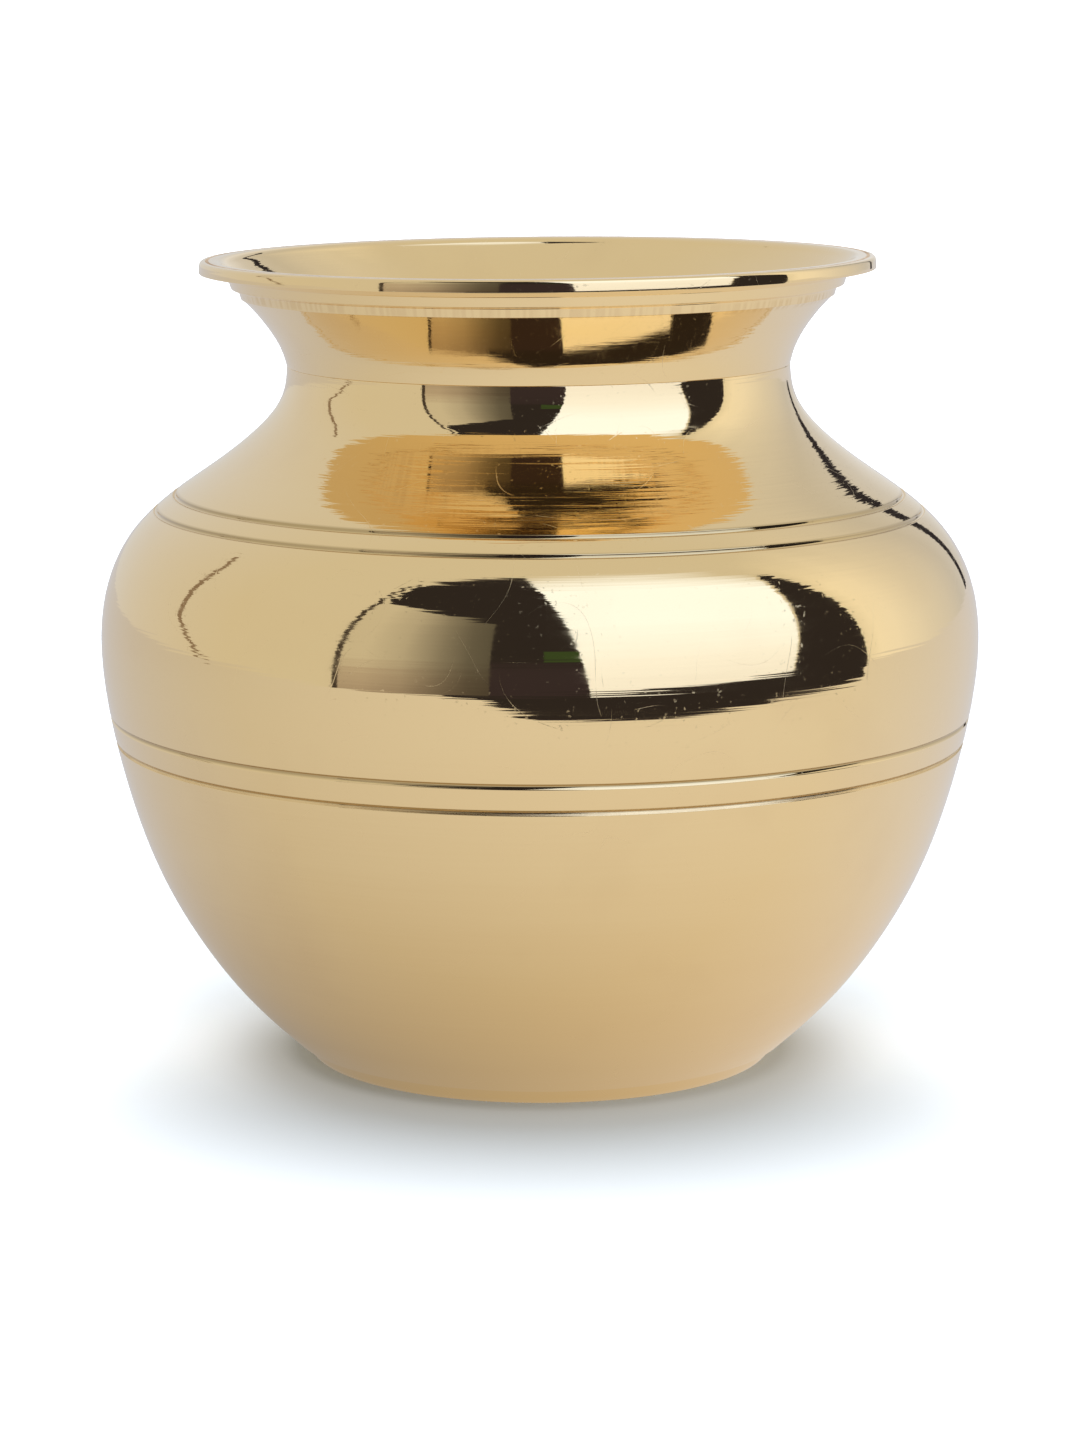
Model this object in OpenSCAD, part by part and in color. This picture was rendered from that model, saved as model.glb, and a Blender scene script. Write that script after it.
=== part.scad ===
// Brass kalash: a round-bellied water pot with a narrow neck and a wide, flared mouth.
// Two spun shells, a flared collar, a mouth ring and a foot ring, brazed together and then
// finished as one piece on the lathe. Millimetres, +Z up, origin at the centre of the foot.

/* [Overall] */
// Height from the foot to the top of the lip
height = 120.25; // [118:0.25:122]
// Thickness of the shells and the collar
wall = 1.4; // [1.2:0.1:1.5]

/* [Body] */
// Height of the flat bottom above the surface that the pot stands on
base_z = 2.4; // [2.2:0.1:2.6]
// Height of the crease at the narrowest part of the neck
crease_z = 104.5; // [104:0.25:105]
// Radius of the neck at the crease
neck_r = 37.5; // [37:0.25:38]

/* [Turned lines] */
// Width of each turned line
line_w = 0.8; // [0.6:0.1:1.0]
// Depth of each turned line
line_d = 0.3; // [0.2:0.05:0.35]
// Height of the lower line of the shoulder pair
shoulder_low_z = 83.1; // [82.5:0.1:83.5]
// Height of the upper line of the shoulder pair
shoulder_high_z = 85.4; // [85:0.1:86]
// Height of the lower line of the belly pair, where the shells meet outside
belly_low_z = 48.7; // [48:0.1:49.5]
// Height of the upper line of the belly pair, where the shells meet inside
belly_high_z = 52.5; // [52:0.1:53]

/* [Mouth] */
// Outer radius of the lip
lip_r = 50.2; // [49.8:0.1:50.6]
// Height of the lip's upright edge
lip_h = 1.8; // [1.5:0.1:2]
// Rounding of the lip's upper edge
lip_round = 0.6; // [0.4:0.1:0.7]

/* [Foot] */
// Outer radius where the foot ring stands
foot_r = 35.2; // [34.8:0.1:35.6]
// Outer radius where the foot ring meets the bowl
foot_top_r = 36.8; // [36.5:0.1:37]
// Width of the foot ring's standing face, measured inwards
foot_w = 3.6; // [3:0.2:5]

/* [Hidden] */
$fn = 160;

brass = "#d8b25c";
old_brass = "#b8924a";
spelter = "#cf9d5e";

// Control points [radius, height] of the body's outer curve, from the bottom to the crease.
body_ctrl = [
    [37.5, base_z],
    [46.5, 10.5],
    [56.5, 25],
    [62.5, 41],
    [67.6, 65.3],
    [62.1, 81],
    [48.2, 89.3],
    [neck_r + 0.3, 98.1],
    [neck_r, crease_z],
];
// Control points of the collar's outer curve, from the crease to its edge under the lip.
collar_edge = [lip_r - 2.3, height - 1.35];
collar_ctrl = [
    [neck_r, crease_z],
    [neck_r + 0.8, crease_z + 3.2],
    [neck_r + 4.2, crease_z + 8.1],
    [neck_r + 8, crease_z + 11.6],
    collar_edge,
];

lap_out_z = belly_low_z;          // outside seam of the belly lap
lap_in_z = belly_high_z;          // inside seam of the belly lap
neck_lap = 3.5;                   // height of the neck lap, below the crease
neck_in_z = crease_z - neck_lap;  // inside seam of the neck lap
half = wall / 2;
floor_z = base_z + wall;          // inside floor of the bowl
floor_r = 32;                     // flat part of the inside floor
corner_z = 7.2;                   // height where the inside corner meets the wall
bead_w = 3.2;                     // width of a braze bead inside the pot
bead_h = 0.45;                    // height of a braze bead
cleft = 0.5;                      // width of the brazed cleft on top of the lip
cleft_r = lip_r - 1.45;           // inner edge of that cleft
mouth_corner = [lip_r - 3.2, height];     // where the inside of the flare would meet the top
mouth_round = 0.8;                        // length of the rounding there, along the top
lip_flare = 0.05;                         // how far the lip's edge leans out towards its foot
bands_z = height - 5.65;                  // foot of the two bands turned under the lip
band_ledge = [0.2, 0];                    // from the collar to the lower band's foot
lower_band = [0.33, 1.25];                // from the lower band's foot to its top
band_step = [1.1, 0.3];                   // from there to the upper band's foot
upper_band = [0.45, 1.4];                 // from the upper band's foot to its top
foot_round = 0.35;                        // rounding of the foot's edges
fillet = 1.2;                             // leg of the fillet inside the foot
wall_pitch = 1.2;                         // spacing of the points along the belly, in height
neck_pitch = 0.8;                         // spacing along the neck, the laps and the collar
mouth_pitch = 0.55;                       // spacing inside the mouth, behind the bands

// ---- curves ----

// A point on a uniform cubic B-spline that starts and ends on its own end points.
function padded(c) =
    let (n = len(c) - 1)
    concat([2 * c[0] - c[1]], c, [2 * c[n] - c[n - 1]]);
function spline(c, u) =
    let (
        p = padded(c),
        i = min(floor(u), len(c) - 2),
        t = u - i
    )
    (
        pow(1 - t, 3) * p[i]
        + (3 * pow(t, 3) - 6 * pow(t, 2) + 4) * p[i + 1]
        + (-3 * pow(t, 3) + 3 * pow(t, 2) + 3 * t + 1) * p[i + 2]
        + pow(t, 3) * p[i + 3]
    ) / 6;

// The parameter at which the curve, which only rises, reaches the height z.
function at_height(c, z, lo, hi, n = 40) =
    let (mid = (lo + hi) / 2)
    n == 0 ? mid
    : spline(c, mid).y < z ? at_height(c, z, mid, hi, n - 1)
    : at_height(c, z, lo, mid, n - 1);

// Unit normal out of the wall.
function normal(c, u) =
    let (
        e = 0.001,
        d = spline(c, min(u + e, len(c) - 1)) - spline(c, max(u - e, 0))
    )
    [d.y, -d.x] / norm(d);

// Point at the height z of curve c, moved inwards along the normal by depth.
function wall_point(c, z, depth = 0) =
    let (u = at_height(c, z, 0, len(c) - 1))
    spline(c, u) - depth * normal(c, u);

// Depth of the turned lines at a point: each is a shallow round-bottomed cut.
line_centres = [
    for (z = [belly_low_z, belly_high_z, shoulder_low_z, shoulder_high_z]) wall_point(body_ctrl, z)
];
function line_depth(p) =
    max([for (c = line_centres) max(0, line_d * (1 - pow(norm(p - c) / (line_w / 2), 2)))]);
function body_skin(z) =
    let (p = wall_point(body_ctrl, z))
    wall_point(body_ctrl, z, line_depth(p));

// ---- lists of heights and points ----

function spread(a, b, n) = [for (i = [0:n]) a + (b - a) * i / n];
function paced(a, b, pitch) = spread(a, b, ceil((b - a) / pitch));
function inner_of(list) = [for (i = [1:len(list) - 2]) list[i]];
function reversed(list) = [for (i = [len(list) - 1:-1:0]) list[i]];
// Heights across one turned line, closer together than elsewhere on the wall.
function across(z) =
    let (slope = abs(normal(body_ctrl, at_height(body_ctrl, z, 0, len(body_ctrl) - 1)).x))
    spread(z - slope * line_w / 2, z + slope * line_w / 2, 8);
function upper_half(list) = [for (i = [floor(len(list) / 2):len(list) - 1]) list[i]];
function lower_half(list) = [for (i = [0:floor(len(list) / 2)]) list[i]];
function last(list) = list[len(list) - 1];
// Points along a quarter turn about centre, from angle a0 to a1.
function arc(centre, r, a0, a1, n = 6) =
    [for (a = spread(a0, a1, n)) centre + r * [cos(a), sin(a)]];
function curve3(a, b, c, n = 8) =
    [for (t = spread(0, 1, n)) pow(1 - t, 2) * a + 2 * t * (1 - t) * b + t * t * c];

bowl_heights =
    let (cut = across(belly_low_z))
    concat([base_z], inner_of(paced(base_z, cut[0], wall_pitch)), lower_half(cut));
shoulder_heights =
    let (
        low = across(belly_low_z),
        high = across(belly_high_z),
        first = across(shoulder_low_z),
        second = across(shoulder_high_z)
    )
    concat(
        upper_half(low),
        inner_of(paced(last(low), high[0], neck_pitch)),
        high,
        inner_of(paced(last(high), first[0], wall_pitch)),
        first,
        inner_of(paced(last(first), second[0], neck_pitch)),
        second,
        inner_of(paced(last(second), crease_z, neck_pitch)),
        [crease_z]
    );
lap_heights = paced(lap_out_z, lap_in_z, neck_pitch);
neck_lap_heights = paced(neck_in_z, crease_z, neck_pitch);
collar_low = paced(crease_z, bands_z, neck_pitch);
collar_high = paced(bands_z, collar_edge.y, mouth_pitch);

// ---- shared faces ----

belly_lap_face = [for (z = lap_heights) wall_point(body_ctrl, z, half)];
neck_lap_face = [for (z = neck_lap_heights) wall_point(body_ctrl, z, half)];
// Corners of the two bands, from the foot of the lower one to the top of the upper one.
lower_foot = wall_point(collar_ctrl, bands_z) + band_ledge;
lower_top = lower_foot + lower_band;
upper_foot = lower_top + band_step;
upper_top = upper_foot + upper_band;
// The sloping seat between the collar and the mouth ring, from the bands to the cleft.
ring_seat = [upper_top, collar_edge];

module turned(points) {
    rotate_extrude() polygon(points);
}

// ---- pieces ----

// Heavy ring around the edge of the flare: the lip.
module mouth_ring() {
    edge = [lip_r - lip_flare - lip_round, height - lip_round];
    color(brass) turned(concat(
        reversed(ring_seat),
        [[lip_r, height - lip_h]],
        arc(edge, lip_round, 0, 90),
        [[cleft_r + cleft, height]]
    ));
}

// Brazing metal, turned flush, in the cleft between the collar's edge and the lip.
module mouth_braze() {
    color(spelter) turned([collar_edge, [cleft_r + cleft, height], [cleft_r, height]]);
}

// Flared collar: the upper neck and the inside of the mouth, with two bands turned under the lip.
module neck_collar() {
    inner_flare = [for (z = concat(collar_low, inner_of(collar_high))) wall_point(collar_ctrl, z, wall)];
    below_corner = [for (p = inner_flare) if (p.y < height - mouth_round) p];
    inner_neck = [for (z = neck_lap_heights) wall_point(body_ctrl, z, wall)];
    mouth_edge = curve3(last(below_corner), mouth_corner, mouth_corner + [mouth_round, 0], 6);
    color(brass) turned(concat(
        [for (z = collar_low) wall_point(collar_ctrl, z)],
        [lower_foot, lower_top, upper_foot],
        ring_seat,
        [[cleft_r, height]],
        reversed(mouth_edge),
        reversed(inner_of(below_corner)),
        reversed([for (p = inner_neck) if (p.y < crease_z - 0.1) p]),
        neck_lap_face
    ));
}

// A low bead of brazing metal over an inside seam at the height z.
module inside_bead(z) {
    heights = spread(z - bead_w / 2, z + bead_w / 2, 10);
    back = [for (h = heights) wall_point(body_ctrl, h, wall)];
    front = [
        for (h = heights)
            wall_point(body_ctrl, h, wall + bead_h * (1 - pow((h - z) / (bead_w / 2), 2)))
    ];
    turned(concat(back, reversed(inner_of(front))));
}

module neck_braze() {
    color(spelter) inside_bead(neck_in_z);
}

// Upper shell: the shoulder and the lower neck. A thin skirt laps over the bowl.
module shoulder_shell() {
    inner_heights = paced(lap_in_z, neck_in_z, wall_pitch);
    color(brass) turned(concat(
        [for (z = shoulder_heights) body_skin(z)],
        reversed(neck_lap_face),
        reversed([for (z = inner_heights) wall_point(body_ctrl, z, wall)]),
        reversed(belly_lap_face)
    ));
}

module belly_braze() {
    color(spelter) inside_bead(lap_in_z);
}

// Lower shell: a deep bowl with a flat bottom. Its thin upper edge goes inside the skirt.
module bowl_shell() {
    inner_heights = paced(corner_z, lap_in_z, wall_pitch);
    inner_wall = [for (z = inner_heights) wall_point(body_ctrl, z, wall)];
    corner = [inner_wall[0].x - (inner_wall[0].y - floor_z), floor_z];
    color(old_brass) turned(concat(
        [[0, base_z]],
        [for (z = bowl_heights) body_skin(z)],
        belly_lap_face,
        reversed(inner_wall),
        reversed(inner_of(curve3([floor_r, floor_z], corner, inner_wall[0]))),
        [[floor_r, floor_z], [0, floor_z]]
    ));
}

// Fillet of brazing metal in the corner under the bowl, inside the foot ring.
module foot_braze() {
    r = foot_r - foot_w;
    centre = [r - fillet, base_z - fillet];
    color(spelter) turned(concat([[r, base_z]], arc(centre, fillet, 90, 0)));
}

// Turned ring that the pot stands on.
module foot_ring() {
    r = foot_r - foot_w;
    color(brass) turned(concat(
        [[r, base_z], [r, foot_round], [r + foot_round, 0]],
        [[foot_r - foot_round, 0], [foot_r, foot_round]],
        [[foot_top_r, base_z]]
    ));
}

mouth_ring();
mouth_braze();
neck_collar();
neck_braze();
shoulder_shell();
belly_braze();
bowl_shell();
foot_braze();
foot_ring();
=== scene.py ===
import math

import bpy
import numpy as np
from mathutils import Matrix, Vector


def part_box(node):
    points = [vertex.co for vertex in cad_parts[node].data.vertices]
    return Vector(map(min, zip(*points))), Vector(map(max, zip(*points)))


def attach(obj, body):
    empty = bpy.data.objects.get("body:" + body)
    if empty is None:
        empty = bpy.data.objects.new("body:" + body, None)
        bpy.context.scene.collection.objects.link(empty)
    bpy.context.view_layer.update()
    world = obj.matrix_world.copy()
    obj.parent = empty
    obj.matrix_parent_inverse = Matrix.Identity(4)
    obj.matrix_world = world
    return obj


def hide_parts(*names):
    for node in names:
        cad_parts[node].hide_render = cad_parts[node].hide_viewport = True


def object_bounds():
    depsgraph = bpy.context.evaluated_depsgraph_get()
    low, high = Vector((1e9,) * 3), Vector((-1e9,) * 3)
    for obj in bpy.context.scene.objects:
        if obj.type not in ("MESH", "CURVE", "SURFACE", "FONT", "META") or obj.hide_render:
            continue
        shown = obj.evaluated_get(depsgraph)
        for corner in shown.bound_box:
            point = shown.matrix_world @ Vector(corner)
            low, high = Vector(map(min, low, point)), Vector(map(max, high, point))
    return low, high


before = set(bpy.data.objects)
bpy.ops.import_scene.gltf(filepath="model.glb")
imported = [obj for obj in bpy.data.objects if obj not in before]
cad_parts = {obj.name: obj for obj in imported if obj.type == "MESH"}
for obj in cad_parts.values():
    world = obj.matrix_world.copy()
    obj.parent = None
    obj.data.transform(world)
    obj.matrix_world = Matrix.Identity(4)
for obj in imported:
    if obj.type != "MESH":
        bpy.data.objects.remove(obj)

CAD_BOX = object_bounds()
MM = 0.001
HEIGHT = CAD_BOX[1].z
LIP_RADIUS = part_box("mouth_ring")[1].x
BELLY_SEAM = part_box("shoulder_shell")[0].z
BAND_LEVELS = (HEIGHT - 5.65 * MM, HEIGHT - 4.4 * MM)                 # the lower band under the lip
LINE_LEVELS = [BELLY_SEAM + up * MM for up in (0, 3.8, 34.4, 36.7)]   # the four turned lines

# ---- how the pieces are turned ----

SEGMENTS = 256                # faces around the axis
PITCH = 0.5 * MM              # spacing of the rings along a curved face
FEWEST = 8                    # rings across the shortest curved face, such as a turned line
CORNER = math.radians(25)     # a sharper turn than this is an edge, the rest are parts of curves
EASED = 0.08 * MM             # how far an ordinary edge is rounded back
EASED_FLUSH = 0.02 * MM       # the same where pieces are turned flush with each other
EASE_STEPS = 3                # faces across an eased edge

# The spinner's marks: slow rings that stay in the metal after polishing.
# Each is its spacing along the wall, its height, and how many times it swells around the pot.
SPIN_RINGS = (
    (5.3 * MM, 0.0016 * MM, 1),
    (3.1 * MM, 0.0011 * MM, 2),
    (1.9 * MM, 0.0007 * MM, 1),
)

# The neck is set a little to one side and the mouth is tilted, as on hand-made pots.
SHIFT = 0.17 * MM
SHIFT_LEVELS = (70 * MM, 90 * MM)     # the shift grows between these heights
TILT = math.radians(0.5)
TILT_LEVELS = (92 * MM, 112 * MM)     # the tilt grows between these heights
TILT_PIVOT = 96 * MM

# ---- the camera ----

CAMERA_BACK = 617 * MM
CAMERA_UP = 160 * MM
CAMERA_PITCH = math.radians(10.08)
CAMERA_LENS = 103.45          # millimetres
CAMERA_SENSOR = 36            # millimetres, the picture's long side

# ---- the studio ----

SKY = 0.69                    # radiance of the plain room around the pot
DARK = (0.029, 0.026, 0.032)  # radiance of the doorway and of the other dark cards
HAZE = (0.040, 0.032, 0.046)  # radiance of the doorway's lower part
CARD_CENTRE = np.array((0.0, 0.0, 66 * MM))   # the cards' places are directions from here


# ======== outlines ========

def outline_of(node):
    """A turned piece's outline, as (radius, height) points in order, counterclockwise.

    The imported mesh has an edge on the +X half plane along every turned face, so the outline is
    the chain of those edges. A disc has none: there the chain ends, and the axis closes it."""
    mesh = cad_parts[node].data
    point_of = {}
    key_of = {}
    for vertex in mesh.vertices:
        x, y, z = vertex.co
        if abs(y) < 1e-6 and x > -1e-6:
            key = (round(x * 1e7), round(z * 1e7))
            key_of[vertex.index] = key
            point_of[key] = (max(x, 0.0), z)
    links = {key: set() for key in point_of}
    for edge in mesh.edges:
        a, b = (key_of.get(i) for i in edge.vertices)
        if a is not None and b is not None and a != b:
            links[a].add(b)
            links[b].add(a)
    ends = sorted(key for key in links if len(links[key]) == 1)
    chain = [ends[0] if ends else min(links)]
    while True:
        further = [key for key in sorted(links[chain[-1]]) if key not in chain[-2:]]
        if not further or further[0] == chain[0]:
            break
        chain.append(further[0])
    points = np.array([point_of[key] for key in chain])
    if ends:
        points = np.vstack([(0.0, points[0, 1]), points, (0.0, points[-1, 1])])
    r, z = points.T
    area = np.sum(r * np.roll(z, -1) - np.roll(r, -1) * z)
    return points if area > 0 else points[::-1]


def unit(vectors):
    return vectors / np.linalg.norm(vectors, axis=-1, keepdims=True)


def end_slope(a, b, c, first, second):
    """Slope at a of the parabola through a, b and c, which are first and second apart."""
    share = first / (first + second)
    return (b - a) / first * (1 + share) - (c - b) / second * share


def smooth_run(points):
    """Points about every PITCH along the smooth curve through points, and the tangents there."""
    if len(points) < 4:
        tangents = unit(np.gradient(points, axis=0))
        return points, tangents
    step = np.linalg.norm(np.diff(points, axis=0), axis=1)
    count = len(points)
    matrix = np.zeros((count, count))
    right = np.zeros((count, 2))
    matrix[0, 0] = matrix[-1, -1] = 1
    right[0] = end_slope(*points[:3], step[0], step[1])
    right[-1] = -end_slope(*points[:-4:-1], step[-1], step[-2])
    for i in range(1, count - 1):
        before, after = 1 / step[i - 1], 1 / step[i]
        matrix[i, i - 1:i + 2] = before, 2 * (before + after), after
        right[i] = 3 * (
            (points[i] - points[i - 1]) * before**2 + (points[i + 1] - points[i]) * after**2
        )
    slopes = np.linalg.solve(matrix, right)
    places = np.concatenate([[0], np.cumsum(step)])
    wanted = np.linspace(0, places[-1], max(FEWEST, math.ceil(places[-1] / PITCH)) + 1)
    cell = np.clip(np.searchsorted(places, wanted, side="right") - 1, 0, count - 2)
    h = step[cell][:, None]
    t = ((wanted - places[cell]) / step[cell])[:, None]
    p0, p1, m0, m1 = points[cell], points[cell + 1], slopes[cell] * h, slopes[cell + 1] * h
    made = (
        (2 * t**3 - 3 * t**2 + 1) * p0 + (t**3 - 2 * t**2 + t) * m0
        + (3 * t**2 - 2 * t**3) * p1 + (t**3 - t**2) * m1
    )
    tangents = (
        (6 * t**2 - 6 * t) * p0 + (3 * t**2 - 4 * t + 1) * m0
        + (6 * t - 6 * t**2) * p1 + (3 * t**2 - 2 * t) * m1
    )
    return made, unit(tangents)


def trimmed(points, tangents, start, end):
    """The run with its ends cut back by start and end, which are less than its length."""
    step = np.linalg.norm(np.diff(points, axis=0), axis=1)
    places = np.concatenate([[0], np.cumsum(step)])
    low, high = start, places[-1] - end
    kept = places[(places > low + 0.2 * start) & (places < high - 0.2 * end)]
    wanted = np.concatenate([[low], kept, [high]])
    cut = np.column_stack([np.interp(wanted, places, points[:, k]) for k in (0, 1)])
    turned = np.column_stack([np.interp(wanted, places, tangents[:, k]) for k in (0, 1)])
    return cut, unit(turned)


def eased_corner(before, after, corner, tangent_in, tangent_out):
    """Points and tangents round an eased edge, without its two ends."""
    points, tangents = [], []
    for i in range(1, EASE_STEPS):
        t = i / EASE_STEPS
        points.append((1 - t)**2 * before + 2 * t * (1 - t) * corner + t * t * after)
        tangents.append((1 - t) * tangent_in + t * tangent_out)
    return np.array(points), unit(np.array(tangents))


def easing_at(point):
    """How far the edge at a point is rounded back."""
    on_top = point[1] > HEIGHT - 0.01 * MM and point[0] < LIP_RADIUS - 0.8 * MM
    return EASED_FLUSH if on_top else EASED


def turned_profile(node):
    """The finished profile of a piece: points, tangents, and whether it closes on itself."""
    outline = outline_of(node)
    closed = outline[0, 0] > 0 or outline[-1, 0] > 0
    way_in = unit(outline - np.roll(outline, 1, axis=0))
    way_out = unit(np.roll(outline, -1, axis=0) - outline)
    turn = np.arccos(np.clip(np.sum(way_in * way_out, axis=1), -1, 1))
    corners = [i for i in range(len(outline)) if turn[i] > CORNER]
    if not closed:
        corners = sorted(set(corners) | {0, len(outline) - 1})
    runs = []
    count = len(corners) if closed else len(corners) - 1
    for k in range(count):
        a, b = corners[k], corners[(k + 1) % len(corners)]
        b = b + len(outline) if b <= a else b
        runs.append(smooth_run(outline[np.arange(a, b + 1) % len(outline)]))
    lengths = [np.sum(np.linalg.norm(np.diff(p, axis=0), axis=1)) for p, _ in runs]
    cuts = []
    for k in range(count):
        cuts.append(min(easing_at(runs[k][0][0]), 0.3 * lengths[k], 0.3 * lengths[k - 1]))
    if not closed:
        cuts[0] = 0.0
    points, tangents = [], []
    for k in range(count):
        end = cuts[(k + 1) % count] if closed or k + 1 < count else 0.0
        run, along = trimmed(*runs[k], cuts[k], end)
        if closed or k > 0:
            previous = trimmed(*runs[k - 1], 0.0, cuts[k])
            round_points, round_tangents = eased_corner(
                previous[0][-1], run[0], runs[k][0][0], previous[1][-1], along[0]
            )
            points.append(round_points)
            tangents.append(round_tangents)
        points.append(run)
        tangents.append(along)
    return np.vstack(points), np.vstack(tangents), closed


# ======== surfaces of revolution ========

def smooth_step(x, low, high):
    """A smooth rise from 0 at low to 1 at high, and its slope."""
    t = np.clip((x - low) / (high - low), 0, 1)
    return t * t * (3 - 2 * t), 6 * t * (1 - t) / (high - low)


def spin_marks(along, angle):
    """Height of the spinner's rings, and how it changes along the wall and around it.

    Each set of rings starts at its own phase and wanders a little, so that none repeats another."""
    height, per_along, per_angle = 0.0, 0.0, 0.0
    for order, (pitch, size, swells) in enumerate(SPIN_RINGS):
        phase = 2 * math.pi * along / pitch + 1.7 * order + 0.8 * np.sin(angle + order)
        swell = 0.65 + 0.35 * np.sin(swells * angle + 2.1 * order)
        height = height + size * swell * np.sin(phase)
        per_along = per_along + size * swell * np.cos(phase) * 2 * math.pi / pitch
        per_angle = per_angle + size * swell * np.cos(phase) * 0.8 * np.cos(angle + order)
    return height, per_along, per_angle


def lean(points, normals):
    """Points and normals with the neck shifted and the mouth tilted a little towards -X."""
    x, z = points[..., 0], points[..., 2]
    shift, shift_rate = smooth_step(z, *SHIFT_LEVELS)
    tilt, tilt_rate = smooth_step(z, *TILT_LEVELS)
    moved = points.copy()
    moved[..., 0] -= SHIFT * shift + TILT * tilt * (z - TILT_PIVOT)
    moved[..., 2] += TILT * tilt * x
    # The normals follow the inverse transpose of the move's gradient.
    gradient = np.zeros(points.shape[:-1] + (3, 3))
    gradient[..., 0, 0] = gradient[..., 1, 1] = 1
    gradient[..., 0, 2] = -SHIFT * shift_rate - TILT * (tilt + tilt_rate * (z - TILT_PIVOT))
    gradient[..., 2, 0] = TILT * tilt
    gradient[..., 2, 2] = 1 + TILT * tilt_rate * x
    turned = np.linalg.solve(np.swapaxes(gradient, -1, -2), normals[..., None])[..., 0]
    return moved, unit(turned)


def turned_piece(name, node, materials, inside=None):
    """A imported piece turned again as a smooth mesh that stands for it.

    inside, if given, says from the profile's outward normals which rings take materials[1]."""
    profile, tangents, closed = turned_profile(node)
    outward = np.column_stack([tangents[:, 1], -tangents[:, 0]])
    steps = np.linalg.norm(np.diff(profile, axis=0), axis=1)
    along = np.concatenate([[0], np.cumsum(steps)])
    angle = 2 * math.pi * np.arange(SEGMENTS) / SEGMENTS
    along_grid, angle_grid = np.meshgrid(along, angle, indexing="ij")
    height, per_along, per_angle = spin_marks(along_grid, angle_grid)

    radius, level = profile[:, :1], profile[:, 1:]
    out_r, out_z = outward[:, :1], outward[:, 1:]
    tan_r, tan_z = tangents[:, :1], tangents[:, 1:]
    cos, sin = np.cos(angle_grid), np.sin(angle_grid)
    around = per_angle / np.maximum(radius, MM)
    points = np.stack([
        (radius + out_r * height) * cos,
        (radius + out_r * height) * sin,
        level + out_z * height,
    ], axis=-1)
    normal_r = out_r - per_along * tan_r
    normals = np.stack([
        normal_r * cos + around * sin,
        normal_r * sin - around * cos,
        out_z - per_along * tan_z + 0 * cos,
    ], axis=-1)
    points, normals = lean(points, unit(normals))

    rings = len(profile)
    faces, ring_of_face = [], []
    for i in range(rings if closed else rings - 1):
        following = (i + 1) % rings
        for j in range(SEGMENTS):
            beside = (j + 1) % SEGMENTS
            quad = [i * SEGMENTS + j, i * SEGMENTS + beside,
                    following * SEGMENTS + beside, following * SEGMENTS + j]
            faces.append(quad)
            ring_of_face.append(i)
    if not closed:
        faces, points, normals, along_values = close_on_axis(faces, points, normals, along)
    else:
        points, normals = points.reshape(-1, 3), normals.reshape(-1, 3)
        along_values = np.repeat(along, SEGMENTS)

    mesh = bpy.data.meshes.new(name)
    mesh.from_pydata(points.tolist(), [], faces)
    for material in materials:
        mesh.materials.append(material)
    if inside is not None:
        is_inside = inside(outward)
        mesh.polygons.foreach_set("material_index", [int(is_inside[i]) for i in ring_of_face])
    mesh.attributes.new("along", "FLOAT", "POINT").data.foreach_set("value", along_values)
    mesh.shade_smooth()
    mesh.normals_split_custom_set_from_vertices(normals.tolist())
    piece = bpy.data.objects.new(name, mesh)
    bpy.context.scene.collection.objects.link(piece)
    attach(piece, "root")
    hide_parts(node)
    return piece


def close_on_axis(faces, points, normals, along):
    """Turns the first and last rings, which lie on the axis, into single points."""
    rings = len(along)
    inner = points[1:-1].reshape(-1, 3)
    first, last = len(inner), len(inner) + 1
    ends = np.array([points[0].mean(axis=0), points[-1].mean(axis=0)])
    end_normals = unit(np.array([normals[0].mean(axis=0), normals[-1].mean(axis=0)]))

    def place(index):
        ring = index // SEGMENTS
        return first if ring == 0 else last if ring == rings - 1 else index - SEGMENTS

    closed_faces = []
    for face in faces:
        corners = [place(index) for index in face]
        closed_faces.append([c for k, c in enumerate(corners) if c != corners[k - 1]])
    all_points = np.vstack([inner, ends])
    all_normals = np.vstack([normals[1:-1].reshape(-1, 3), end_normals])
    all_along = np.concatenate([np.repeat(along[1:-1], SEGMENTS), along[[0, -1]]])
    return closed_faces, all_points, all_normals, all_along


# ======== materials ========

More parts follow.
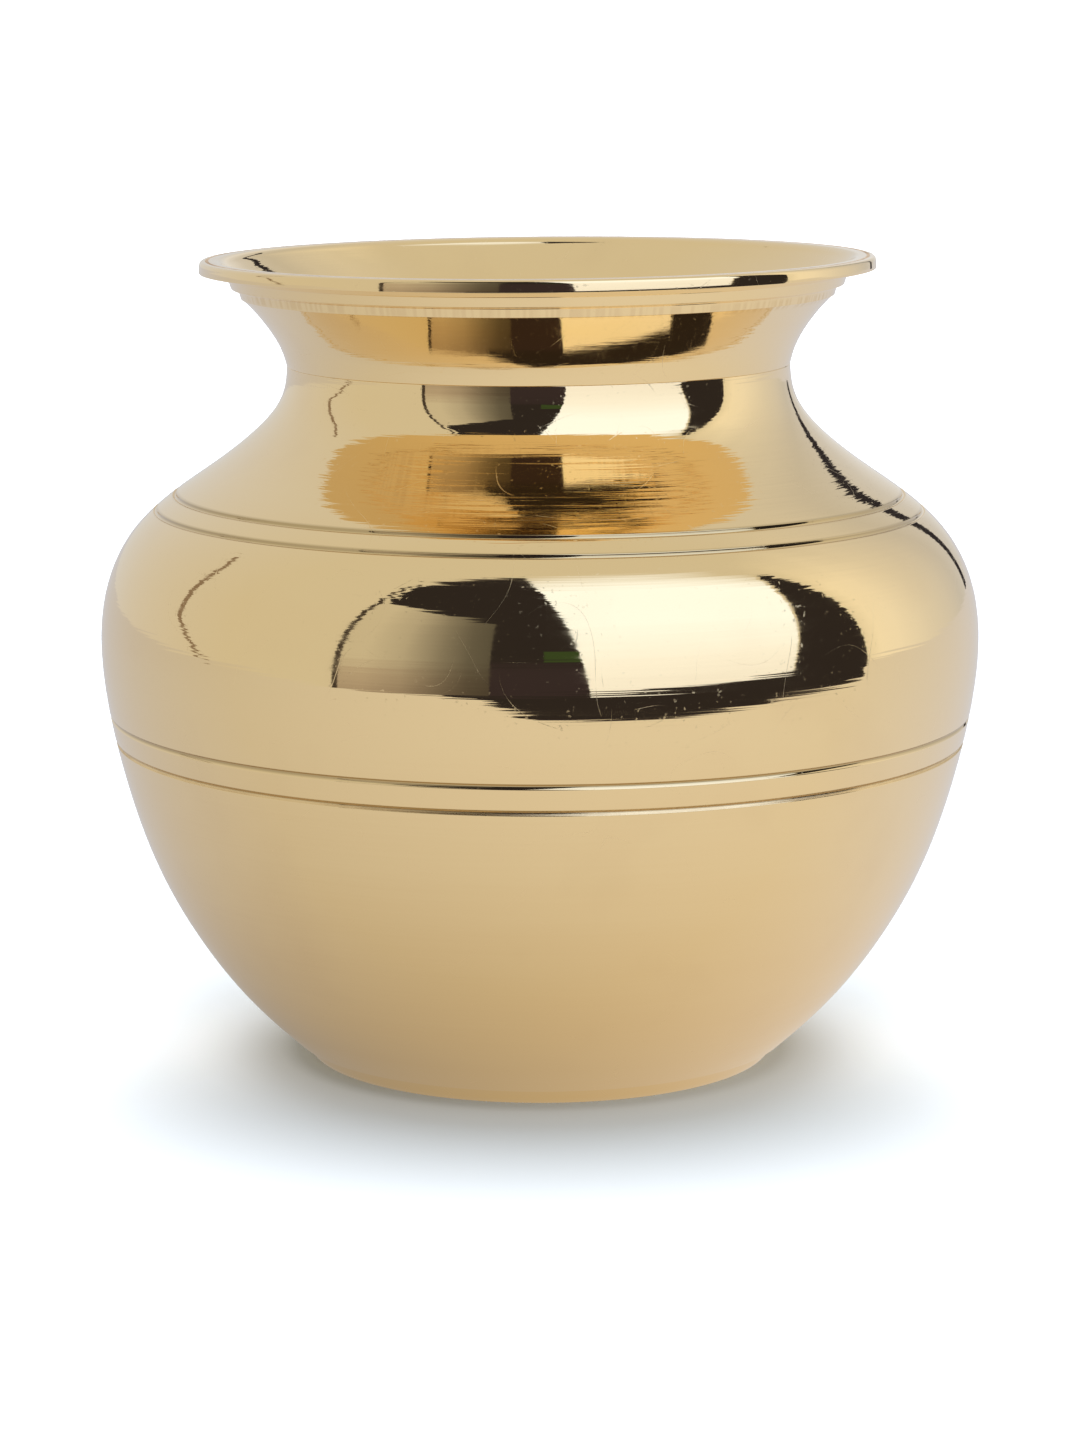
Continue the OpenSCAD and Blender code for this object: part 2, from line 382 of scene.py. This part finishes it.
class Nodes:
    """Short calls for adding and joining nodes in one material."""

    def __init__(self, name):
        self.material = bpy.data.materials.new(name)
        self.material.use_nodes = True
        self.tree = self.material.node_tree
        self.tree.nodes.clear()
        self.output = self.tree.nodes.new("ShaderNodeOutputMaterial")

    def add(self, kind, inputs=None, **settings):
        node = self.tree.nodes.new(kind)
        for setting, value in settings.items():
            setattr(node, setting, value)
        for key, value in (inputs or {}).items():
            if isinstance(value, bpy.types.NodeSocket):
                self.tree.links.new(value, node.inputs[key])
            else:
                node.inputs[key].default_value = value
        return node

    def math(self, operation, a, b=0.0, c=0.0, clamp=False):
        node = self.add("ShaderNodeMath", {0: a, 1: b, 2: c}, operation=operation, use_clamp=clamp)
        return node.outputs[0]

    def ramp(self, value, low, high, to_low=0.0, to_high=1.0):
        """value carried from the range low to high onto to_low to to_high, and held there."""
        node = self.add("ShaderNodeMapRange", {
            "Value": value, "From Min": low, "From Max": high,
            "To Min": to_low, "To Max": to_high,
        })
        return node.outputs["Result"]

    def mix(self, share, a, b):
        node = self.add("ShaderNodeMix", data_type="RGBA")
        for socket, value in ((node.inputs[0], share), (node.inputs[6], a), (node.inputs[7], b)):
            if isinstance(value, bpy.types.NodeSocket):
                self.tree.links.new(value, socket)
            else:
                socket.default_value = value
        return node.outputs[2]

    def vector_math(self, operation, inputs):
        return self.add("ShaderNodeVectorMath", inputs, operation=operation).outputs[0]

    def place(self):
        return self.add("ShaderNodeTexCoord").outputs["Object"]

    def turning(self, around, per_metre):
        """A vector for textures that follow the turning: fast along the wall, slow around it."""
        flat = self.vector_math("MULTIPLY", {0: self.place(), 1: (1.0, 1.0, 0.0)})
        way = self.vector_math("NORMALIZE", {0: flat})
        way = self.vector_math("SCALE", {0: way, "Scale": around})
        along = self.add("ShaderNodeAttribute", attribute_name="along").outputs["Fac"]
        rise = self.add("ShaderNodeCombineXYZ", {"Z": self.math("MULTIPLY", along, per_metre)})
        return self.vector_math("ADD", {0: way, 1: rise.outputs[0]})

    def noise(self, vector, scale=1.0, detail=2.0, roughness=0.5, distortion=0.0):
        node = self.add("ShaderNodeTexNoise", {
            "Vector": vector, "Scale": scale, "Detail": detail,
            "Roughness": roughness, "Distortion": distortion,
        })
        return node.outputs["Fac"]

    def bump(self, height):
        """The surface's normal with a height, in metres, laid on it."""
        node = self.add("ShaderNodeBump", {"Height": height, "Strength": 1.0, "Distance": 1.0})
        return node.outputs[0]

    def finish(self, shader):
        self.tree.links.new(shader, self.output.inputs["Surface"])
        return self.material


def lathe_height(n, sizes):
    """Height in metres of turning marks; sizes are (marks per metre, height in metres, turns)."""
    total = None
    for per_metre, height, around in sizes:
        rings = n.noise(n.turning(around, per_metre), detail=1.0)
        part = n.math("MULTIPLY", rings, height)
        total = part if total is None else n.math("ADD", total, part)
    return total


def hair_scratches(n, scale, width, seed):
    """1 on thin wandering lines, 0 elsewhere."""
    moved = n.vector_math("ADD", {0: n.place(), 1: (seed, -seed, 0.3 * seed)})
    field = n.noise(moved, scale=scale, detail=0.0, distortion=0.2)
    near = n.math("ABSOLUTE", n.math("SUBTRACT", field, 0.5))
    line = n.ramp(near, 0.0, width, 1.0, 0.0)
    patches = n.ramp(n.noise(moved, scale=scale * 3.1, detail=1.0), 0.49, 0.62)
    return n.math("MULTIPLY", line, patches)


def polished_brass():
    """Lathe-polished brass: mirror bright, with fine rings, hair scratches and faint stains.

    Painted shade darkens the turned lines. The tool has chattered on the lower band, and painted
    shade darkens the chatter marks."""
    n = Nodes("polished_brass")
    clean = (0.93, 0.71, 0.37, 1.0)
    warm = (0.905, 0.665, 0.33, 1.0)
    # a stain colour, also used as painted shade on the chatter marks
    stain_and_shade = (0.82, 0.60, 0.31, 1.0)
    # the colour of the painted sheen at glancing angles
    pale = (0.97, 0.92, 0.86, 1.0)
    # painted shade for the turned lines
    groove_shade = (0.34, 0.24, 0.10, 1.0)
    bands = n.noise(n.turning(0.6, 90.0), detail=2.0)
    clouds = n.noise(n.place(), scale=38.0, detail=3.0, roughness=0.55)
    colour = n.mix(n.ramp(bands, 0.4, 0.75, 0.0, 0.35), clean, warm)
    colour = n.mix(n.ramp(clouds, 0.58, 0.8, 0.0, 0.35), colour, stain_and_shade)
    # painted sheen: the colour turns paler where the surface is seen at a glancing angle
    glancing = n.add("ShaderNodeLayerWeight", {"Blend": 0.5}).outputs["Facing"]
    colour = n.mix(n.ramp(glancing, 0.3, 0.75, 0.0, 0.25), colour, pale)
    level = n.add("ShaderNodeSeparateXYZ", {0: n.place()}).outputs["Z"]
    in_line = 0.0
    for line in LINE_LEVELS:
        away = n.math("ABSOLUTE", n.math("SUBTRACT", level, line))
        in_line = n.math("MAXIMUM", in_line, n.ramp(away, 0.12 * MM, 0.42 * MM, 1.0, 0.0))
    # painted shade: the turned lines are darkened
    colour = n.mix(n.math("MULTIPLY", in_line, 0.6), colour, groove_shade)
    above = n.ramp(level, BAND_LEVELS[0] - 0.4 * MM, BAND_LEVELS[0] + 0.1 * MM)
    below = n.ramp(level, BAND_LEVELS[1] - 0.2 * MM, BAND_LEVELS[1] + 0.3 * MM, 1.0, 0.0)
    facing = n.add("ShaderNodeNewGeometry").outputs["Normal"]
    tilt = n.add("ShaderNodeSeparateXYZ", {0: facing}).outputs["Z"]
    outside = n.ramp(tilt, -0.15, -0.05, 1.0, 0.0)
    on_band = n.math("MULTIPLY", outside, n.math("MULTIPLY", above, below))
    chatter = n.noise(n.turning(58.0, 60.0), detail=0.0)
    # painted shade: the chatter marks on the lower band are darkened
    chatter_shade = n.math("MULTIPLY", on_band, n.ramp(chatter, 0.42, 0.60, 0.0, 0.6))
    colour = n.mix(chatter_shade, colour, stain_and_shade)

    marks = hair_scratches(n, 42.0, 0.0011, 3.1)
    for seed in (8.7, 14.2, 21.9, 30.4):
        marks = n.math("MAXIMUM", marks, hair_scratches(n, 50.0, 0.0013, seed))
    rings = lathe_height(n, (
        (300.0, 0.013 * MM, 0.8),
        (900.0, 0.013 * MM, 1.4),
        (1900.0, 0.012 * MM, 2.4),
        (4200.0, 0.003 * MM, 4.0),
    ))
    surface = n.math("SUBTRACT", rings, n.math("MULTIPLY", marks, 0.0015 * MM))
    chattered = n.math("MULTIPLY", on_band, n.math("MULTIPLY", chatter, 0.016 * MM))
    surface = n.math("ADD", surface, chattered)

    grind = n.noise(n.turning(1.5, 1400.0), detail=2.0)
    specks = n.ramp(n.noise(n.place(), scale=1500.0, detail=1.0), 0.68, 0.74)
    rough = n.ramp(grind, 0.35, 0.8, 0.025, 0.075)
    rough = n.math("ADD", rough, n.ramp(clouds, 0.55, 0.8, 0.0, 0.06))
    rough = n.math("ADD", rough, n.math("MULTIPLY", specks, 0.15))
    rough = n.math("ADD", rough, n.math("MULTIPLY", marks, 0.28), clamp=True)
    shader = n.add("ShaderNodeBsdfPrincipled", {
        "Base Color": colour, "Metallic": 1.0, "Roughness": rough, "Normal": n.bump(surface),
    })
    return n.finish(shader.outputs[0])


def satin_brass():
    """The inside of the shells: spun and scoured, never polished, a little tarnished."""
    n = Nodes("satin_brass")
    clean = (0.88, 0.65, 0.33, 1.0)
    tarnish = (0.52, 0.36, 0.17, 1.0)
    clouds = n.noise(n.place(), scale=55.0, detail=5.0, roughness=0.6)
    bands = n.noise(n.turning(0.8, 420.0), detail=3.0)
    spots = n.math("ADD", n.math("MULTIPLY", clouds, 0.7), n.math("MULTIPLY", bands, 0.3))
    colour = n.mix(n.ramp(spots, 0.45, 0.7, 0.05, 0.75), clean, tarnish)
    rings = lathe_height(n, ((500.0, 0.030 * MM, 0.6), (1500.0, 0.012 * MM, 1.5)))
    grain = n.math("MULTIPLY", n.noise(n.place(), scale=2600.0, detail=2.0), 0.004 * MM)
    shader = n.add("ShaderNodeBsdfPrincipled", {
        "Base Color": colour, "Metallic": 1.0, "Normal": n.bump(n.math("ADD", rings, grain)),
        "Roughness": n.ramp(spots, 0.4, 0.7, 0.24, 0.42),
    })
    return n.finish(shader.outputs[0])


def brazing_metal():
    """Brazing metal: redder than the brass, with small pits and runs."""
    n = Nodes("brazing_metal")
    bright = (0.86, 0.58, 0.30, 1.0)
    oxide = (0.42, 0.24, 0.13, 1.0)
    clouds = n.noise(n.place(), scale=180.0, detail=4.0, roughness=0.6)
    pits = n.ramp(n.noise(n.place(), scale=900.0, detail=1.0), 0.3, 0.42, 1.0, 0.0)
    colour = n.mix(n.ramp(clouds, 0.42, 0.72, 0.0, 0.8), bright, oxide)
    runs = n.noise(n.turning(30.0, 300.0), detail=3.0)
    raised, sunk = n.math("MULTIPLY", runs, 0.10 * MM), n.math("MULTIPLY", pits, 0.03 * MM)
    shader = n.add("ShaderNodeBsdfPrincipled", {
        "Base Color": colour, "Metallic": 1.0, "Normal": n.bump(n.math("SUBTRACT", raised, sunk)),
        "Roughness": n.ramp(clouds, 0.35, 0.75, 0.25, 0.5),
    })
    return n.finish(shader.outputs[0])


# ======== studio ========

def stage_object(name, points, faces, material, **visible):
    """A mesh that isn't part of the pot, seen only by the kinds of ray that are left on."""
    mesh = bpy.data.meshes.new(name)
    mesh.from_pydata([tuple(p) for p in points], [], faces)
    mesh.materials.append(material)
    made = bpy.data.objects.new(name, mesh)
    bpy.context.scene.collection.objects.link(made)
    for kind in ("camera", "diffuse", "glossy", "transmission", "shadow"):
        setattr(made, "visible_" + kind, visible.get(kind, False))
    return made


def toward(azimuth, elevation, distance):
    """A point seen from the middle of the pot. Azimuth 0 is the camera's side, 90 is +X."""
    a, e = math.radians(azimuth), math.radians(elevation)
    way = np.array((math.sin(a) * math.cos(e), -math.cos(a) * math.cos(e), math.sin(e)))
    return CARD_CENTRE + distance * way


def glowing_material():
    """Emission in the colours painted on the card's corners."""
    n = Nodes("card_glow")
    colour = n.add("ShaderNodeAttribute", attribute_name="glow").outputs["Color"]
    return n.finish(n.add("ShaderNodeEmission", {"Color": colour, "Strength": 1.0}).outputs[0])


def card(name, rows, distance):
    """A sheet of studio card or light seen only in reflections.

    rows are lists of ((azimuth, elevation), radiance) of equal length, from low to high."""
    columns = len(rows[0])
    points = [toward(*place, distance) for row in rows for place, _ in row]
    glows = [(*np.broadcast_to(glow, 3), 1.0) for row in rows for _, glow in row]
    faces = [
        (k * columns + i, k * columns + i + 1, (k + 1) * columns + i + 1, (k + 1) * columns + i)
        for k in range(len(rows) - 1) for i in range(columns - 1)
    ]
    paint(stage_object(name, points, faces, GLOW, glossy=True), glows)


def quad_rows(low_left, low_right, high_right, high_left, glows, columns=12, rows=10):
    """Rows of a card whose four edges are straight: glows are (share of the height, radiance)."""
    corners = [toward(*place, 1.0) for place in (low_left, low_right, high_right, high_left)]
    shares = [share for share, _ in glows]
    colours = np.array([np.broadcast_to(glow, 3) for _, glow in glows])
    made = []
    for k in range(rows + 1):
        up = k / rows
        glow = tuple(float(np.interp(up, shares, colours[:, c])) for c in range(3))
        a = corners[0] * (1 - up) + corners[3] * up
        b = corners[1] * (1 - up) + corners[2] * up
        made.append([
            (direction(a * (1 - i / columns) + b * i / columns), glow) for i in range(columns + 1)
        ])
    return made


def direction(point):
    """Azimuth and elevation of a point seen from the middle of the pot."""
    x, y, z = point - CARD_CENTRE
    return math.degrees(math.atan2(x, -y)), math.degrees(math.atan2(z, math.hypot(x, y)))


def add_cards():
    """The room as the brass reflects it. Directions are (azimuth, elevation) in degrees."""
    window_low, window_mid, window_high = (1.00, 1.12, 1.50), (1.07, 1.22, 1.66), (1.16, 1.40, 2.05)
    card("window", quad_rows((12.5, -4), (66, 0), (87, 53), (-10, 74), [
        (0.0, window_low), (0.18, window_mid), (0.5, window_high), (0.84, window_high), (1.0, SKY),
    ]), 2.6)
    card("doorway", quad_rows((-50, -6), (15, -5), (-6, 74), (-50, 62), [
        (0.0, HAZE), (0.2, HAZE), (0.26, DARK), (1.0, DARK),
    ], rows=24), 2.9)
    green = (0.042, 0.078, 0.034)
    card("green_cloth", quad_rows((1, 13.5), (11, 13.5), (10, 18.5), (1, 18.5), [
        (0.0, green), (1.0, green),
    ]), 2.85)
    panel = [(-52, 0.62), (-45, 0.62), (-35, 0.49), (-25, 0.25), (-18, 0.14), (-12.5, 0.11)]
    left, right = panel[0][0], panel[-1][0]
    card("left_panel", [
        [((az, -7), (glow * 0.62, glow * 0.55, glow * 0.54)) for az, glow in panel],
        [((az, 3), (glow * 0.80, glow * 0.74, glow * 0.73)) for az, glow in panel],
        [((az, 12), glow) for az, glow in panel],
        [((az, 47 - 10 * (az - left) / (right - left)), glow) for az, glow in panel],
    ], 2.75)
    post = (0.06, 0.05, 0.05)
    card("left_panel_edge", [
        [((-53.2, el), post), ((-51.6, el), post)] for el in (-6, 10, 25, 40, 52, 62)
    ], 2.5)
    card("right_flag", quad_rows((66, -1), (91, -8), (91, 50), (88, 52), [
        (0.0, DARK), (1.0, DARK),
    ]), 2.55)
    strip_top = [(-27, -4.2), (12.5, -3.6), (40, -1.7), (66, 0.5), (92, -4)]
    card("room_floor", [
        [((az, -35), DARK) for az, _ in strip_top],
        [(top, DARK) for top in strip_top],
    ], 2.8)
    brown = (0.27, 0.21, 0.17)
    cable = [(-120, 40), (-113, 33), (-108, 10), (-97, 0), (-80, -6)]
    card("left_cable", [
        [((az - 1.0, el), brown) for az, el in cable],
        [((az + 1.0, el), brown) for az, el in cable],
    ], 2.4)
    card("back_post", [
        [((152, -4), DARK), ((155, -4), DARK)],
        [((152, 31), DARK), ((155, 31), DARK)],
    ], 2.4)
    wall = [
        (91, 0.84), (97, 0.96), (105, 0.93), (120, 0.78), (135, 0.68),
        (145, 0.60), (160, 0.66), (172, 0.80), (180, 0.70),
    ]
    card("right_wall", [
        [((az, -3), glow) for az, glow in wall],
        [((az, 35), glow) for az, glow in wall],
        [((az, 60), SKY) for az, glow in wall],
    ], 3.2)


def table_glow(radius, azimuth):
    """Light from the table top: dimmer and browner near the pot, most so away from the window."""
    near = math.exp(-max(radius - 38 * MM, 0) / (40 * MM))
    shade = 0.25 + 0.2 * math.cos(math.radians(azimuth + 70))
    lit = 0.61 + 0.19 * math.cos(math.radians(azimuth - 40) / 2)**2
    level = lit * (1 - shade * near)
    return level, level * (1 - 0.13 * near), level * (1.06 - 0.34 * near), 1.0


def reach_along(way, outline):
    """Distance from the origin to a closed outline in one direction."""
    reach = []
    for a, b in zip(outline, outline[1:] + outline[:1]):
        span = (b[0] - a[0], b[1] - a[1])
        across = way[0] * span[1] - way[1] * span[0]
        if abs(across) > 1e-9:
            distance = (a[0] * span[1] - a[1] * span[0]) / across
            share = (a[0] * way[1] - a[1] * way[0]) / across
            if distance > 0 and -1e-9 <= share <= 1 + 1e-9:
                reach.append(distance)
    return min(reach)


def reflecting_floor():
    """The table top that the pot reflects. It ends a little way in front of the pot."""
    far = 3.0
    level = -0.05 * MM            # just under the sweep, so that the foot stands clear of it
    outline = [
        (-far, far), (-far, -0.58), (-0.743, -0.58), (-0.354, -0.76), (-0.163, -0.606),
        (0.0, -0.309), (0.370, -0.213), (0.569, -0.05), (far, 0.06), (far, far),
    ]
    angles = {math.atan2(y, x) for x, y in outline}
    angles = sorted(angles | {math.radians(a) for a in range(-179, 180, 3)})
    radii = [r * MM for r in (34, 40, 47, 56, 68, 84, 105, 135, 180, 260)]
    points, glows = [(0, 0, level)], [table_glow(0, 0)]
    for a in angles:
        way = (math.cos(a), math.sin(a))
        azimuth = math.degrees(math.atan2(way[0], -way[1]))
        for r in [*radii, reach_along(way, outline)]:
            points.append((r * way[0], r * way[1], level))
            glows.append(table_glow(r, azimuth))
    rings, count = len(radii) + 1, len(angles)
    faces = []
    for j in range(count):
        here, beside = 1 + j * rings, 1 + (j + 1) % count * rings
        faces.append((0, here, beside))
        for k in range(rings - 1):
            faces.append((here + k, here + k + 1, beside + k + 1, beside + k))
    paint(stage_object("table_in_reflections", points, faces, GLOW, glossy=True), glows)


def sweep_glow(radius, azimuth):
    """Light painted on the sweep: none at the foot, most at the two sides, full far off."""
    open_floor, _ = smooth_step(radius, 42 * MM, 120 * MM)
    beside, _ = smooth_step(radius, 36 * MM, 54 * MM)
    near, _ = smooth_step(radius, 37 * MM, 41 * MM)
    far, _ = smooth_step(radius, 0.2, 1.0)
    side = math.sin(math.radians(azimuth))**6
    level = 0.38 * open_floor + 0.31 * side * beside + 0.10 * near + 0.4 * far
    return level, 0.96 * level, 0.93 * level, 1.0


def pale_sweep():
    """The pale floor that the camera sees, rising to a round wall far behind and all around."""
    n = Nodes("pale_sweep")
    painted = n.add("ShaderNodeAttribute", attribute_name="glow").outputs["Color"]
    paper = n.add("ShaderNodeBsdfDiffuse", {"Color": (0.57, 0.645, 0.72, 1.0)})
    glow = n.add("ShaderNodeEmission", {"Color": painted, "Strength": 1.0})
    both = n.add("ShaderNodeAddShader", {0: paper.outputs[0], 1: glow.outputs[0]})
    material = n.finish(both.outputs[0])
    flat, rise, top, around = 1.6, 0.8, 3.0, 96
    radii = (34, 37, 40, 44, 48, 53, 59, 66, 75, 86, 100, 150, 250, 450, 900)
    section = [(r * MM, 0.0) for r in radii]
    section.append((flat, 0.0))
    for i in range(1, 13):
        a = math.pi / 2 * i / 12
        section.append((flat + rise * math.sin(a), rise * (1 - math.cos(a))))
    section.append((flat + rise, top))
    points, glows = [(0, 0, 0)], [sweep_glow(0, 0)]
    for r, z in section:
        for j in range(around):
            a = 2 * math.pi * j / around
            points.append((r * math.cos(a), r * math.sin(a), z))
            glows.append(sweep_glow(r, math.degrees(math.atan2(math.cos(a), -math.sin(a)))))
    faces = [(0, 1 + j, 1 + (j + 1) % around) for j in range(around)]
    for i in range(len(section) - 1):
        for j in range(around):
            k, m = 1 + i * around, (j + 1) % around
            faces.append((k + j, k + around + j, k + around + m, k + m))
    made = stage_object("pale_sweep", points, faces, material, camera=True)
    made.data.shade_smooth()
    paint(made, glows)


def paint(made, glows):
    """Gives each point of a stage object its own colour of light."""
    colours = made.data.color_attributes.new("glow", "FLOAT_COLOR", "POINT")
    for value, glow in zip(colours.data, glows):
        value.color = glow


def overhead_light():
    """A wide soft box above and behind the pot. It lights the sweep and isn't seen in the brass."""
    light = bpy.data.lights.new("overhead_softbox", "AREA")
    light.shape = "DISK"
    light.size = 2.4
    light.energy = 42
    back, up = 0.35, 1.8
    made = bpy.data.objects.new("overhead_softbox", light)
    made.location = (0, back, up)
    made.rotation_euler = (-math.atan2(back, up), 0, 0)
    made.visible_glossy = False
    made.visible_camera = False
    bpy.context.scene.collection.objects.link(made)


def room_light():
    world = bpy.data.worlds.new("plain_room")
    world.use_nodes = True
    background = world.node_tree.nodes["Background"]
    background.inputs["Color"].default_value = (SKY, SKY, SKY, 1.0)
    background.inputs["Strength"].default_value = 1.0
    bpy.context.scene.world = world


def add_camera():
    data = bpy.data.cameras.new("camera")
    data.sensor_width = CAMERA_SENSOR
    data.lens = CAMERA_LENS
    data.clip_start = 0.01
    data.clip_end = 50
    camera = bpy.data.objects.new("camera", data)
    camera.location = (0, -CAMERA_BACK, CAMERA_UP)
    camera.rotation_euler = (math.pi / 2 - CAMERA_PITCH, 0, 0)
    bpy.context.scene.collection.objects.link(camera)
    bpy.context.scene.camera = camera


# ======== the pot and its studio ========

def inner_face(outward):
    """Rings of a shell whose surface faces the inside of the pot."""
    return outward[:, 0] < -0.05


def inner_face_or_floor(outward):
    return inner_face(outward) | (outward[:, 1] > 0.3)


add_camera()
brass, satin, braze = polished_brass(), satin_brass(), brazing_metal()
for name, node, materials, inside in (
    ("lip_ring", "mouth_ring", [brass], None),
    ("flared_collar", "neck_collar", [brass], None),
    ("shoulder", "shoulder_shell", [brass, satin], inner_face),
    ("bowl", "bowl_shell", [brass, satin], inner_face_or_floor),
    ("foot", "foot_ring", [brass], None),
):
    turned_piece(name, node, materials, inside)
for name, node in (
    ("lip_seam", "mouth_braze"),
    ("neck_seam", "neck_braze"),
    ("belly_seam", "belly_braze"),
    ("foot_fillet", "foot_braze"),
):
    turned_piece(name, node, [braze])

GLOW = glowing_material()
add_cards()
reflecting_floor()
pale_sweep()
overhead_light()
room_light()
bpy.context.scene.view_settings.view_transform = "Standard"
bpy.context.scene.cycles.blur_glossy = 0.0
